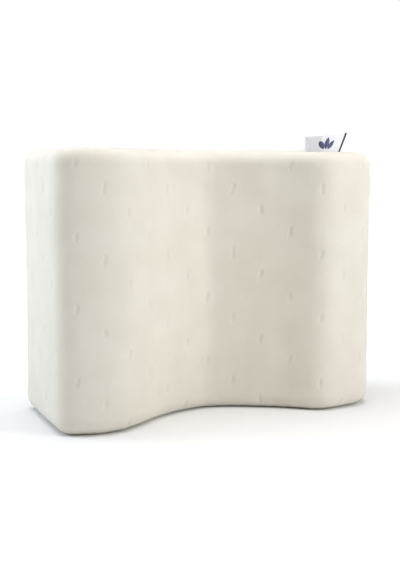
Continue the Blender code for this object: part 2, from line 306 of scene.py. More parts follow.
def swelling(name, points, limit):
    """How far inflated cloth lifts off a grid of points whose borders are sewn down, by simulation."""
    shape = bmesh.new()
    rows, columns = np.indices(points.shape[:2])
    add_grid(shape, points, float_layers(shape, row=rows, column=columns))
    pad = finish_shape(shape, name + "_trial", None, recalc=False)
    mesh = pad.data
    count = len(mesh.vertices)
    row, column = np.round(read_layers(mesh, "row", "column")).astype(int).T
    last_row, last_column = points.shape[0] - 1, points.shape[1] - 1
    edge = (row == 0) | (row == last_row) | (column == 0) | (column == last_column)
    sewn = pad.vertex_groups.new(name="sewn")
    sewn.add([int(index) for index in np.flatnonzero(edge)], 1.0, "REPLACE")

    cloth = pad.modifiers.new("cloth", "CLOTH")
    settings = cloth.settings
    settings.quality = 5
    settings.mass = 0.3
    settings.tension_stiffness = 12
    settings.compression_stiffness = 12
    settings.shear_stiffness = 6
    settings.bending_stiffness = 1.5
    settings.use_pressure = True
    settings.uniform_pressure_force = 4
    settings.vertex_group_mass = "sewn"
    settings.effector_weights.gravity = 0
    cloth.collision_settings.use_collision = False
    scene = bpy.context.scene
    for number in range(1, CLOTH_FRAMES + 1):
        scene.frame_set(number)
    moved = pad.evaluated_get(bpy.context.evaluated_depsgraph_get()).data
    after = np.zeros(count * 3, np.float32)
    moved.vertices.foreach_get("co", after)
    before = np.zeros(count * 3, np.float32)
    mesh.vertices.foreach_get("co", before)
    shift = (after - before).reshape(-1, 3)
    lift = np.zeros(points.shape[:2])
    lift[row, column] = (shift * normals_of(points)[row, column]).sum(axis=1)
    bpy.data.objects.remove(pad)
    scene.frame_set(1)
    largest = max(float(np.percentile(lift, 98)), 1e-6)
    return limit * np.tanh(np.clip(lift, 0, None) / largest)


def resampled(values, rows, columns):
    """A coarse grid of numbers read smoothly on a finer one."""
    def cubic(field, count, axis):
        field = np.moveaxis(field, axis, 0)
        place = np.linspace(0, len(field) - 1, count)
        low = np.clip(np.floor(place).astype(int), 0, len(field) - 2)
        t = (place - low).reshape(-1, *([1] * (field.ndim - 1)))
        before, after = field[np.clip(low - 1, 0, None)], field[np.clip(low + 2, None, len(field) - 1)]
        p0, p1, p2, p3 = before, field[low], field[low + 1], after
        curve = p1 + t / 2 * (p2 - p0 + t * (2 * p0 - 5 * p1 + 4 * p2 - p3 + t * (3 * (p1 - p2) + p3 - p0)))
        return np.moveaxis(curve, 0, axis)

    return cubic(cubic(values, rows, 0), columns, 1)


def wavy(seed, along, across, length):
    """Soft uneven waves between -1 and 1, from a few sines of seeded directions."""
    rng = np.random.default_rng(seed)
    total = np.zeros_like(along)
    for _ in range(WAVES):
        turn, phase = rng.uniform(0, 2 * math.pi), rng.uniform(0, 2 * math.pi)
        stretch = rng.uniform(0.6, 1.6)
        ahead = along * math.cos(turn) + across * math.sin(turn)
        total += np.sin(2 * math.pi * stretch / length * ahead + phase)
    return total / WAVES ** 0.5 / 1.6


def figures(column, rise):
    """Leaf figures: 1 along the middle of a leaf, falling to 0 at its outline and outside."""
    number = np.round((column - FIGURE_START[0]) / FIGURE_COLUMN)
    across = column - FIGURE_START[0] - number * FIGURE_COLUMN
    middle = FIGURE_START[1] - number * FIGURE_STEP
    row = np.round((rise - middle) / FIGURE_ROW)
    up = rise - middle - row * FIGURE_ROW
    lean = np.sin(number * 2.4 + row * 1.7) * 0.16 - 0.10
    sideways = across + up * lean
    half = FIGURE_WIDTH / 2 * np.clip(1 - (2 * up / FIGURE_LENGTH) ** 2, 0, 1)
    return np.clip(1 - np.abs(sideways) / np.maximum(half, 1e-6), 0, 1) * (half > 0)


def relief(points, sides, column, rise, lift, seed, sewn):
    """Where the cloth's outer face lies, with its swelling, seams, puckers and leaf figures. Also how
    deep each point is in a leaf, and how clear it is of a seam."""
    normal = normals_of(points)
    leaf = figures(column, rise)
    soft_leaf = leaf * leaf * (3 - 2 * leaf)
    height = lift + CLOUD_HEIGHT * wavy(seed, column, rise, CLOUD_LENGTH)
    seam = np.minimum.reduce([side for side, held in zip(sides, sewn) if held])
    height = height - SEAM_DIP * np.exp(-((seam / SEAM_WIDTH) ** 2))
    near = np.tanh(seam / (2.5 * MM))
    for side, held, along in zip(sides, sewn, (rise, rise, column, column)):
        if not held:
            height = height - TOPSTITCH_DIP * np.exp(-(((side - TOPSTITCH) / (1.5 * MM)) ** 2))
            continue
        gathers = np.sin(2 * math.pi * along / GATHER_PITCH)
        pucker = 0.55 * gathers + 0.45 * wavy(seed + 3, along, side, 14 * MM)
        fading = np.exp(-side / PUCKER_REACH) * np.tanh(side / (2 * MM))
        height = height + PUCKER_HEIGHT * pucker * fading
    height = height - FIGURE_DEPTH * soft_leaf
    return points + height[..., None] * normal, soft_leaf, near


def quilted_panel(name, surface, size, swell, seed, sewn, floor):
    """A padded cloth panel with a detailed outer face and a plain inner one. Surface maps two grids
    that go from 0 to 1 to points and the figures' coordinates, and size is the panel's cloth size."""
    def sample(spacing):
        columns, rows = (max(8, round(length / spacing)) + 1 for length in size)
        across, up = np.meshgrid(np.linspace(0, 1, columns), np.linspace(0, 1, rows))
        return surface(across, up)

    points, column, rise = sample(CELL)
    rough, _, _ = sample(COARSE)
    lift = swelling(name, rough, swell)
    lift = resampled(lift, *points.shape[:2])
    _, sides = border_distance(points)
    outer, leaf, near = relief(points, sides, column, rise, lift, seed, sewn)
    inner_points, inner_column, inner_rise = sample(3 * CELL)
    inner = inner_points - WALL * normals_of(inner_points)
    if floor:
        outer[..., 2] = np.maximum(outer[..., 2], 0.0)

    shape = bmesh.new()
    layers = float_layers(shape, leaf=leaf, clear_of_seam=near, run=column, rise=rise)
    add_grid(shape, outer, layers)
    outer_border = [edge for edge in shape.edges if edge.is_boundary]
    made = add_grid(shape, inner, ((layers[2][0], inner_column), (layers[3][0], inner_rise)))
    inner_faces = list({face for vert in made for face in vert.link_faces})
    inner_border = list({edge for vert in made for edge in vert.link_edges if edge.is_boundary})
    bmesh.ops.reverse_faces(shape, faces=inner_faces)
    bmesh.ops.bridge_loops(shape, edges=outer_border + inner_border)
    bmesh.ops.recalc_face_normals(shape, faces=shape.faces)
    panel = finish_shape(shape, name, None, recalc=False)
    add_cloth_map(panel.data)
    return panel, outer


def add_cloth_map(mesh):
    """A UV map that holds each point's run and rise in metres, for the knit's stitches."""
    place = read_layers(mesh, "run", "rise")
    corner = np.zeros(len(mesh.loops), np.int32)
    mesh.loops.foreach_get("vertex_index", corner)
    uv = mesh.uv_layers.new(name="cloth")
    uv.data.foreach_set("uv", place[corner].ravel())
    for name in ("run", "rise"):
        mesh.attributes.remove(mesh.attributes[name])


# ---------------------------------------------------------------- materials

def new_material(name, colour, roughness, metallic=0.0, **sockets):
    """A Principled material, its shader and its tree. Socket names are written with underscores."""
    made = bpy.data.materials.new(name)
    made.use_nodes = True
    shader = made.node_tree.nodes["Principled BSDF"]
    shader.inputs["Base Color"].default_value = (*colour, 1)
    shader.inputs["Roughness"].default_value = roughness
    shader.inputs["Metallic"].default_value = metallic
    for socket, value in sockets.items():
        shader.inputs[socket.replace("_", " ")].default_value = value
    return made, shader, made.node_tree


def add_node(tree, kind, inputs=(), **settings):
    """A shader node whose inputs are given in order, as numbers, colours, None or other outputs."""
    node = tree.nodes.new("ShaderNode" + kind)
    for name, value in settings.items():
        setattr(node, name, value)
    for socket, value in zip(node.inputs, inputs):
        if value is None:
            continue
        if isinstance(value, bpy.types.NodeSocket):
            tree.links.new(value, socket)
        else:
            socket.default_value = value
    return node


def maths(tree, operation, *inputs):
    return add_node(tree, "Math", inputs, operation=operation).outputs[0]


def ripple(tree, value, pitch):
    """Rounded ridges across a coordinate, a pitch apart."""
    turn = maths(tree, "MULTIPLY", value, math.pi / pitch)
    return maths(tree, "ABSOLUTE", maths(tree, "SINE", turn))


def mixed(tree, share, first, second):
    """Two colours blended by a share from 0 to 1."""
    node = add_node(tree, "Mix", data_type="RGBA")
    for name, value in (("Factor_Float", share), ("A_Color", first), ("B_Color", second)):
        socket = next(s for s in node.inputs if s.identifier == name)
        if isinstance(value, bpy.types.NodeSocket):
            tree.links.new(value, socket)
        else:
            socket.default_value = value if isinstance(value, float) else (*value, 1)
    return next(s for s in node.outputs if s.identifier == "Result_Color")


def noise(tree, where, scale, detail=2.0):
    node = add_node(tree, "TexNoise")
    tree.links.new(where, node.inputs["Vector"])
    node.inputs["Scale"].default_value = scale
    node.inputs["Detail"].default_value = detail
    return node.outputs["Fac"]


def spread(tree, value, low, high, to_low=0.0, to_high=1.0):
    node = add_node(tree, "MapRange", (value, low, high, to_low, to_high))
    return node.outputs["Result"]


def surfaced(tree, shader, shade, height, distance, strength):
    """Give a shader its colour and its fine relief."""
    tree.links.new(shade, shader.inputs["Base Color"])
    bump = add_node(tree, "Bump")
    bump.inputs["Strength"].default_value = strength
    bump.inputs["Distance"].default_value = distance
    tree.links.new(height, bump.inputs["Height"])
    tree.links.new(bump.outputs["Normal"], shader.inputs["Normal"])


def cloth_axes(tree):
    """The run and rise of a cloth map, in metres."""
    place = add_node(tree, "UVMap", uv_map="cloth").outputs["UV"]
    axes = add_node(tree, "SeparateXYZ", (place,))
    return axes.outputs["X"], axes.outputs["Y"]


def object_place(tree):
    return add_node(tree, "TexCoord").outputs["Object"]


def knit_height(tree, run, rise, wale, course):
    """Rows of V-shaped stitches: columns a wale apart, and each V a course high."""
    across = maths(tree, "DIVIDE", run, wale)
    leg = maths(tree, "PINGPONG", across, 0.5)
    climb = maths(tree, "ADD", maths(tree, "DIVIDE", rise, course), maths(tree, "MULTIPLY", leg, 1.3))
    rows = maths(tree, "POWER", ripple(tree, climb, 1.0), 0.5)
    legs = maths(tree, "POWER", ripple(tree, across, 0.5), 0.6)
    return maths(tree, "MULTIPLY", legs, rows)


def quilted_knit():
    """Cream double knit: fine stitches, smooth leaf figures, and the faint clouds of the filling."""
    made, shader, tree = new_material("quilted_knit", (0.80, 0.765, 0.69), 0.92, Sheen_Weight=0.25,
                                      Sheen_Roughness=0.45, Specular_IOR_Level=0.25)
    run, rise = cloth_axes(tree)
    here = object_place(tree)
    leaf = add_node(tree, "Attribute", attribute_name="leaf").outputs["Fac"]
    clear = add_node(tree, "Attribute", attribute_name="clear_of_seam").outputs["Fac"]
    stitches = knit_height(tree, run, rise, 0.9 * MM, 0.75 * MM)
    fuzz = noise(tree, here, 2600.0, 2.0)
    plain = maths(tree, "SUBTRACT", 1.0, maths(tree, "MULTIPLY", leaf, 0.75))
    ridges = maths(tree, "MULTIPLY", stitches, plain)
    height = maths(tree, "ADD", ridges, maths(tree, "MULTIPLY", fuzz, 0.5))
    clouds = noise(tree, here, 38.0, 3.0)
    yarn = noise(tree, here, 420.0, 1.0)
    shade = mixed(tree, spread(tree, clouds, 0.35, 0.65), (0.80, 0.762, 0.668), (0.85, 0.807, 0.721))
    shade = mixed(tree, spread(tree, yarn, 0.2, 0.8, 0.0, 0.25), shade, (0.755, 0.705, 0.61))
    # Painted shade: darker in the hollows between the stitches.
    valley_shade = maths(tree, "MULTIPLY", maths(tree, "SUBTRACT", 1.0, stitches), 0.12)
    shade = mixed(tree, valley_shade, shade, (0.62, 0.575, 0.49))
    # Painted shade: darker inside the pressed leaf figures.
    shade = mixed(tree, maths(tree, "MULTIPLY", leaf, 0.30), shade, (0.70, 0.665, 0.59))
    # Painted shade: darker along the seams, where the cloth dips into them.
    shade = mixed(tree, spread(tree, clear, 0.0, 0.8, 0.45, 0.0), shade, (0.60, 0.555, 0.47))
    smoother = maths(tree, "ADD", clouds, maths(tree, "MULTIPLY", leaf, -0.3))
    tree.links.new(spread(tree, smoother, 0.2, 0.8, 0.82, 0.97), shader.inputs["Roughness"])
    surfaced(tree, shader, shade, height, 0.16 * MM, 0.55)
    return made


def liner_tricot():
    """Thin white warp knit with fine upright ribs."""
    made, shader, tree = new_material("liner_tricot", (0.84, 0.84, 0.82), 0.85, Sheen_Weight=0.2)
    run, rise = cloth_axes(tree)
    ribs = knit_height(tree, run, rise, 0.6 * MM, 0.5 * MM)
    # Painted shade: darker in the hollows between the ribs.
    shade = mixed(tree, spread(tree, ribs, 0.0, 1.0, 0.35, 0.0), (0.85, 0.85, 0.83), (0.66, 0.66, 0.63))
    surfaced(tree, shader, shade, ribs, 0.1 * MM, 0.6)
    return made


def memory_foam():
    """Pale moulded foam with fine pores and a faint skin."""
    made, shader, tree = new_material("memory_foam", (0.90, 0.84, 0.62), 0.88, Subsurface_Weight=0.1,
                                      Subsurface_Scale=0.004)
    here = object_place(tree)
    cells = add_node(tree, "TexVoronoi")
    tree.links.new(here, cells.inputs["Vector"])
    cells.inputs["Scale"].default_value = 900.0
    pores = cells.outputs["Distance"]
    clouds = noise(tree, here, 30.0, 3.0)
    shade = mixed(tree, spread(tree, clouds, 0.3, 0.7), (0.87, 0.80, 0.57), (0.93, 0.87, 0.66))
    # Painted shade: darker in the pores.
    shade = mixed(tree, spread(tree, pores, 0.0, 0.35, 0.3, 0.0), shade, (0.66, 0.57, 0.36))
    surfaced(tree, shader, shade, pores, 0.3 * MM, 0.5)
    return made


def woven_tape():
    """Cream zip tape with a herringbone weave."""
    made, shader, tree = new_material("zip_tape", (0.80, 0.76, 0.68), 0.8, Sheen_Weight=0.15)
    run, rise = cloth_axes(tree)
    zigzag = maths(tree, "PINGPONG", maths(tree, "DIVIDE", rise, 2.4 * MM), 0.5)
    twill = maths(tree, "ADD", maths(tree, "DIVIDE", run, 0.9 * MM), maths(tree, "MULTIPLY", zigzag, 2.4))
    weave = ripple(tree, twill, 1.0)
    picks = ripple(tree, rise, 0.45 * MM)
    height = maths(tree, "ADD", weave, maths(tree, "MULTIPLY", picks, 0.4))
    # Painted shade: darker in the hollows of the weave.
    shade = mixed(tree, spread(tree, weave, 0.0, 1.0, 0.5, 0.0), (0.82, 0.78, 0.70), (0.58, 0.54, 0.46))
    surfaced(tree, shader, shade, height, 0.12 * MM, 0.7)
    return made


def nylon():
    """Slightly clear moulded nylon, with the gloss broken by fine drawing lines."""
    made, shader, tree = new_material("zip_nylon", (0.82, 0.79, 0.71), 0.32, Subsurface_Weight=0.15,
                                      Subsurface_Scale=0.001, Specular_IOR_Level=0.5)
    here = object_place(tree)
    specks = noise(tree, here, 900.0, 2.0)
    tree.links.new(spread(tree, specks, 0.3, 0.7, 0.26, 0.42), shader.inputs["Roughness"])
    clouds = spread(tree, noise(tree, here, 60.0), 0.3, 0.7)
    shade = mixed(tree, clouds, (0.80, 0.77, 0.69), (0.85, 0.82, 0.74))
    surfaced(tree, shader, shade, specks, 0.02 * MM, 0.4)
    return made


def plated_metal():
    """Nickel-plated zinc, rubbed brighter in streaks along the zip."""
    made, shader, tree = new_material("zip_metal", (0.72, 0.71, 0.69), 0.3, metallic=1.0)
    here = object_place(tree)
    streaks = add_node(tree, "Mapping")
    tree.links.new(here, streaks.inputs["Vector"])
    streaks.inputs["Scale"].default_value = (40.0, 900.0, 900.0)
    brushed = noise(tree, streaks.outputs["Vector"], 1.0, 3.0)
    cast = noise(tree, here, 500.0, 3.0)
    tree.links.new(spread(tree, brushed, 0.3, 0.7, 0.22, 0.42), shader.inputs["Roughness"])
    shade = mixed(tree, spread(tree, cast, 0.35, 0.65), (0.66, 0.65, 0.63), (0.77, 0.76, 0.74))
    surfaced(tree, shader, shade, maths(tree, "ADD", brushed, cast), 0.02 * MM, 0.5)
    return made


def woven_label(black_edge):
    """Lilac-white damask label, black past a given share of its width, in a band along its slanted edge."""
    made, shader, tree = new_material("woven_label", (0.86, 0.86, 0.90), 0.6, Specular_IOR_Level=0.3)
    run, rise = cloth_axes(tree)
    share = add_node(tree, "Attribute", attribute_name="across").outputs["Fac"]
    warp = ripple(tree, run, 0.28 * MM)
    weft = ripple(tree, rise, 0.22 * MM)
    height = maths(tree, "ADD", maths(tree, "MULTIPLY", warp, 0.6), weft)
    # Painted shade: darker in the hollows between the weft picks.
    shade = mixed(tree, spread(tree, weft, 0.0, 1.0, 0.3, 0.0), (0.88, 0.88, 0.92), (0.70, 0.70, 0.76))
    dark = spread(tree, share, black_edge, black_edge + 0.012)
    shade = mixed(tree, dark, shade, (0.012, 0.012, 0.016))
    surfaced(tree, shader, shade, height, 0.05 * MM, 0.6)
    return made


def satin(name, colour, dark):
    """Shiny satin weave or thread: fine floats along the run."""
    made, shader, tree = new_material(name, colour, 0.38, Sheen_Weight=0.2, Specular_IOR_Level=0.5)
    floats = ripple(tree, cloth_axes(tree)[1], 0.25 * MM)
    broken = noise(tree, object_place(tree), 1500.0, 2.0)
    height = maths(tree, "ADD", floats, maths(tree, "MULTIPLY", broken, 0.6))
    # Painted shade: darker where the relief is low, in the hollows between the floats.
    shade = mixed(tree, spread(tree, height, 0.2, 1.3, 0.6, 0.0), colour, dark)
    surfaced(tree, shader, shade, height, 0.04 * MM, 0.6)
    return made


def sewing_thread(name, colour, dark):
    """Twisted polyester thread: slanting plies on Object coordinates."""
    made, shader, tree = new_material(name, colour, 0.6, Sheen_Weight=0.2)
    axes = add_node(tree, "SeparateXYZ", (object_place(tree),))
    flat = maths(tree, "ADD", axes.outputs["X"], axes.outputs["Y"])
    plies = ripple(tree, maths(tree, "ADD", flat, axes.outputs["Z"]), 0.35 * MM)
    # Painted shade: darker in the grooves between the plies.
    shade = mixed(tree, spread(tree, plies, 0.0, 1.0, 0.6, 0.0), colour, dark)
    surfaced(tree, shader, shade, plies, 0.05 * MM, 0.7)
    return made


KNIT = quilted_knit()
TRICOT = liner_tricot()
FOAM = memory_foam()
TAPE = woven_tape()
NYLON = nylon()
METAL = plated_metal()
LABEL = woven_label(0.935)
CARE = satin("care_satin", (0.82, 0.82, 0.80), (0.66, 0.66, 0.64))
INDIGO = sewing_thread("indigo_floss", (0.085, 0.085, 0.20), (0.04, 0.04, 0.11))
THREAD = sewing_thread("cream_thread", (0.78, 0.745, 0.66), (0.55, 0.51, 0.42))


# ---------------------------------------------------------------- cushion

def add_cover():
    """The five quilted panels of the cover, each between its own seams."""
    def wrap(across, up):
        run = SEAM_GAP + across * (WRAP_RUN - 2 * SEAM_GAP)
        return side_surface(run, SEAM_GAP + up * (RISE_RUN - 2 * SEAM_GAP))

    def back(low, high):
        def surface(across, up):
            run = WRAP_RUN + SEAM_GAP + across * (RING_RUN - WRAP_RUN - 2 * SEAM_GAP)
            return side_surface(run, low + up * (high - low))
        return surface

    def end(height, flip):
        def surface(across, up):
            share = 1 - across if flip else across
            points = end_patch(share, up, RIM_SEAM + SEAM_GAP, height)
            return points, points[..., 0] - LOW.x, points[..., 1] - BACK_Y
        return surface

    zip_rise = RISE_RUN / 2 + ZIP_Z - HEIGHT / 2
    upper_rise = (zip_rise + LIP_Z, RISE_RUN - SEAM_GAP)
    lower_rise = (SEAM_GAP, zip_rise - LIP_Z)
    back_run = RING_RUN - WRAP_RUN
    depth = BACK_Y - LOW.y - 2 * RIM_SEAM
    end_size = (2 * SIDE_SEAM_X, depth)
    upper_size = (back_run, upper_rise[1] - upper_rise[0])
    lower_size = (back_run, lower_rise[1] - lower_rise[0])
    panels = (
        ("cover_front_wrap", wrap, (WRAP_RUN, RISE_RUN), "wrap", 11, ALL_SEWN),
        ("cover_top_panel", end(HEIGHT, False), end_size, "top", 23, ALL_SEWN),
        ("cover_bottom_panel", end(0.0, True), end_size, "bottom", 31, ALL_SEWN),
        ("cover_back_upper", back(*upper_rise), upper_size, "back", 43, (True, True, False, True)),
        ("cover_back_lower", back(*lower_rise), lower_size, "back", 57, (True, True, True, False)),
    )
    faces = {}
    for name, surface, size, kind, seed, sewn in panels:
        panel, faces[name] = quilted_panel(name + "_cloth", surface, size, SWELL[kind], seed, sewn,
                                           kind == "bottom")
        panel.data.materials.append(KNIT)
        place_piece(panel, "cushion", "quilted_knit", name)
    return faces


def strip_panel(name, surface, counts, thickness, material):
    """A plain sheet through a surface, given its thickness by a Solidify modifier."""
    across, up = np.meshgrid(np.linspace(0, 1, counts[0] + 1), np.linspace(0, 1, counts[1] + 1))
    points, run, rise = surface(across, up)
    shape = bmesh.new()
    add_grid(shape, points, float_layers(shape, run=run, rise=rise))
    panel = finish_shape(shape, name, material, recalc=False)
    add_cloth_map(panel.data)
    wall = panel.modifiers.new("wall", "SOLIDIFY")
    wall.thickness = thickness
    wall.offset = -1
    return panel


def add_core():
    """The moulded foam block: its outline carried up through the rims' rounded sections, and capped."""
    shape = bmesh.new()
    station = shape.verts.layers.int.new("station")
    count = 360
    ring = bmesh.ops.create_circle(shape, segments=count, radius=1)["verts"]
    for number, vert in enumerate(ring):
        vert[station] = number
    point, normal, _ = around(np.arange(count) * RING_RUN / count)
    rim = RIM_RADIUS - FOAM_INSET
    turns = np.linspace(0, math.pi / 2, 9)
    low = [(FOAM_INSET + rim * (1 - math.sin(turn)), FOAM_INSET + rim * (1 - math.cos(turn)))
           for turn in turns]
    levels = np.linspace(low[-1][1], HEIGHT - low[-1][1], 24)[1:-1]
    sections = low + [(FOAM_INSET, level) for level in levels]
    sections += [(inset, HEIGHT - level) for inset, level in reversed(low)]
    edges = list(shape.edges)
    verts = ring
    for number, (inset, level) in enumerate(sections):
        if number:
            grown = bmesh.ops.extrude_edge_only(shape, edges=edges)["geom"]
            verts = [part for part in grown if isinstance(part, bmesh.types.BMVert)]
            edges = [part for part in grown if isinstance(part, bmesh.types.BMEdge)]
            fresh = set(verts)
            edges = [edge for edge in edges if all(vert in fresh for vert in edge.verts)]
        for vert in verts:
            place = point[vert[station]] - inset * normal[vert[station]]
            vert.co = (*place, level)
    bmesh.ops.holes_fill(shape, edges=[edge for edge in shape.edges if edge.is_boundary], sides=0)
    caps = [face for face in shape.faces if len(face.verts) > 4]
    bmesh.ops.triangulate(shape, faces=caps)
    core = finish_shape(shape, "foam_core_block", FOAM)
    core.data.attributes.remove(core.data.attributes["station"])
    place_piece(core, "cushion", "memory_foam", "foam_core")


def add_liner():
    """The tricot bag under the cover: a band round the foam and two profile-shaped ends."""
    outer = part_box("liner_top_panel")[1].z
    inset = HEIGHT - outer
    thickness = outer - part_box("liner_top_panel")[0].z

    def band(across, up):
        run = SEAM_GAP + across * (RING_RUN - 2 * SEAM_GAP)
        rise = SEAM_GAP + up * (RISE_RUN - 2 * SEAM_GAP)
        flat = around(run)[1]
        share = np.clip(1 - upright(rise)[0] / RIM_RADIUS, 0, 1)
        points, _, rise = side_surface(run, rise)
        points[..., :2] -= inset * share[..., None] * flat
        points[..., 2] = inset + points[..., 2] * (HEIGHT - 2 * inset) / HEIGHT
        return points, run, rise

    liner = strip_panel("liner_band_cloth", band, (240, 70), thickness, TRICOT)
    place_piece(liner, "cushion", "liner_tricot", "liner_band")
    for name, height, flip in (("liner_top", outer, False), ("liner_bottom", inset, True)):
        def end(across, up, height=height, flip=flip):
            share = 1 - across if flip else across
            points = end_patch(share, up, RIM_SEAM + SEAM_GAP, height)
            return points, points[..., 0], points[..., 1]

        panel = strip_panel(name + "_cloth", end, (90, 36), thickness, TRICOT)
        place_piece(panel, "cushion", "liner_tricot", name + "_panel")


# ---------------------------------------------------------------- thread

STITCH_SLANT = math.radians(7)
SEAM_PITCH = 4.2 * MM
SEAM_LIFT = 0.10 * MM


def add_stitches(name, path, normal, pitch, size, lift, across=False):
    """A row of thread stitches along a path, each a small rounded bar. Size is its length, width
    and height. The bars lie along the path, or across it where they bridge a seam."""
    steps = np.linalg.norm(np.diff(path, axis=0), axis=1)
    run = np.concatenate([[0], np.cumsum(steps)])
    places = np.arange(pitch / 2, run[-1], pitch)

    def at(place, rows):
        return Vector([np.interp(place, run, rows[:, axis]) for axis in range(3)])

    shape = bmesh.new()
    for place in places:
        here = at(place, path)
        up = at(place, normal).normalized()
        along = (at(place + pitch / 4, path) - at(place - pitch / 4, path)).normalized()
        side = up.cross(along).normalized()
        along = side.cross(up)
        axes = (side, along, up) if across else (along, side, up)
        turn = Matrix(axes).transposed().to_4x4()
        slant = Matrix.Rotation(STITCH_SLANT, 4, "Z")
        matrix = Matrix.Translation(here + up * lift) @ turn @ slant @ Matrix.Diagonal((*size, 1))
        bmesh.ops.create_uvsphere(shape, u_segments=7, v_segments=6, radius=0.5, matrix=matrix)
    row = finish_shape(shape, name, THREAD)
    place_piece(row, "cushion", "quilted_knit")
    return row


def add_seam_thread(panels):
    """Stitches that show in the seams, and the two rows of topstitching along the zip."""
    wrap = panels["cover_front_wrap"]
    faces = {name: normals_of(points) for name, points in panels.items()}
    ladder = (2.3 * MM, 0.42 * MM, 0.42 * MM)
    rows = (
        ("seam_thread_top", ("cover_front_wrap", -1), ("cover_back_upper", -1)),
        ("seam_thread_bottom", ("cover_front_wrap", 0), ("cover_back_lower", 0)),
    )
    for name, *parts in rows:
        path = np.vstack([panels[part][row] for part, row in parts])
        normal = np.vstack([faces[part][row] for part, row in parts])
        add_stitches(name, path, normal, SEAM_PITCH, ladder, SEAM_LIFT, across=True)
    for name, column in (("seam_thread_left", 0), ("seam_thread_right", -1)):
        normal = faces["cover_front_wrap"][:, column]
        add_stitches(name, wrap[:, column], normal, SEAM_PITCH, ladder, SEAM_LIFT, across=True)
    bar = (2.7 * MM, 0.5 * MM, 0.45 * MM)
    for side in ("upper", "lower"):
        points, normal = panels["cover_back_" + side], faces["cover_back_" + side]
        steps = round(TOPSTITCH / np.linalg.norm(points[1, 0] - points[0, 0]))
        index = steps if side == "upper" else -1 - steps
        add_stitches("zip_topstitch_" + side, points[index], normal[index], 3.4 * MM, bar, 0.05 * MM)


# ---------------------------------------------------------------- zip

def along_zip(name, low, high, counts, shape_height, material):
    """A strip that runs along the zip between two corners, with its outer face shaped by a function."""
    def surface(across, up):
        x = high.x + (low.x - high.x) * across
        z = low.z + (high.z - low.z) * up
        y = high.y + shape_height(x, z)
        return np.stack([x, y, z], axis=-1), x, z
    return strip_panel(name, surface, counts, high.y - low.y, material)


def add_tapes():
    for name, side in (("upper", 1), ("lower", -1)):
        low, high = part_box("zip_tape_" + name)
        edge = low.z if side > 0 else high.z

        def ridge(x, z, edge=edge, side=side):
            inward = (z - edge) * side
            return 0.10 * MM * np.exp(-((inward - 2.2 * MM) / (1.2 * MM)) ** 2) - 0.05 * MM

        tape = along_zip("zip_tape_" + name + "_weave", low, high, (160, 18), ridge, TAPE)
        place_piece(tape, "cushion", "zip_tape", "zip_tape_" + name)


def tube(name, points, radius, material, sides=2):
    """A round wire along points, made by a bevelled curve and turned into a mesh."""
    curve = bpy.data.curves.new(name, "CURVE")
    curve.dimensions = "3D"
    curve.bevel_depth = radius
    curve.bevel_resolution = sides
    curve.use_fill_caps = True
    spline = curve.splines.new("POLY")
    spline.points.add(len(points) - 1)
    for point, place in zip(spline.points, points):
        point.co = (*place, 1)
    holder = bpy.data.objects.new(name + "_line", curve)
    bpy.context.scene.collection.objects.link(holder)
    mesh = bpy.data.meshes.new_from_object(holder.evaluated_get(bpy.context.evaluated_depsgraph_get()))
    mesh.name = name
    bpy.data.objects.remove(holder)
    mesh.materials.clear()
    return add_object(name, mesh, material)


COIL_PITCH = 2.0 * MM
WIRE = 0.29 * MM
CORE_RADIUS = 0.32 * MM
COIL_STEPS = 16


def add_coils():
    """Two flattened nylon spirals whose heads take turns along the middle, each round a core cord."""
    middle_y = (COIL_LOW.y + COIL_HIGH.y) / 2
    for name, side in (("upper", 1), ("lower", -1)):
        low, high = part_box("zip_coil_" + name)
        outer = max(abs(low.z - ZIP_Z), abs(high.z - ZIP_Z))
        head = 0.25 * MM
        turns = int((high.x - low.x - 1.5 * COIL_PITCH) / COIL_PITCH)
        first = low.x + COIL_PITCH / 2 + (COIL_PITCH / 2 if side < 0 else 0)
        points = []
        for step in range(turns * COIL_STEPS + 1):
            turn = 2 * math.pi * step / COIL_STEPS
            reach = rounded(math.cos(turn), 0.75)
            depth = rounded(math.sin(turn), 0.75)
            z = (head + outer) / 2 - (outer - head - 2 * WIRE) / 2 * reach
            y = middle_y + (COIL_HIGH.y - COIL_LOW.y - 2 * WIRE) / 2 * depth
            x = first + COIL_PITCH * (step / COIL_STEPS + 0.09 * math.sin(2 * turn))
            points.append((x, y, ZIP_Z + side * z))
        coil = tube("zip_coil_" + name + "_spiral", points, WIRE, NYLON, sides=1)
        place_piece(coil, "cushion", "zip_nylon", "zip_coil_" + name)
        core_z = ZIP_Z + side * (head + outer) / 2
        ends = [(low.x, middle_y, core_z), (high.x, middle_y, core_z)]
        core = tube("zip_core_" + name, ends, CORE_RADIUS, THREAD)
        place_piece(core, "cushion", "zip_tape")
        stops = np.arange(first + COIL_PITCH / 4, high.x - COIL_PITCH, COIL_PITCH / 2)
        row_z = ZIP_Z + side * (outer - 0.75 * MM)
        path = np.array([(x, COIL_HIGH.y, row_z) for x in stops])
        normal = np.tile((0.0, 1.0, 0.0), (len(path), 1))
        bar = (1.4 * MM, 0.3 * MM, 0.3 * MM)
        add_stitches("zip_coil_thread_" + name, path, normal, COIL_PITCH, bar, -0.04 * MM)


def bevelled_block(shape, low, high, width, segments=3):
    """A box between two corners with rounded edges, added to a shape."""
    low, high = Vector(low), Vector(high)
    place = Matrix.Translation((low + high) / 2) @ Matrix.Diagonal((*(high - low), 1))
    made = bmesh.ops.create_cube(shape, size=1, matrix=place)["verts"]
    edges = list({edge for vert in made for edge in vert.link_edges})
    bmesh.ops.bevel(shape, geom=edges, offset=width, segments=segments, profile=0.5,
                    affect="EDGES", material=-1)


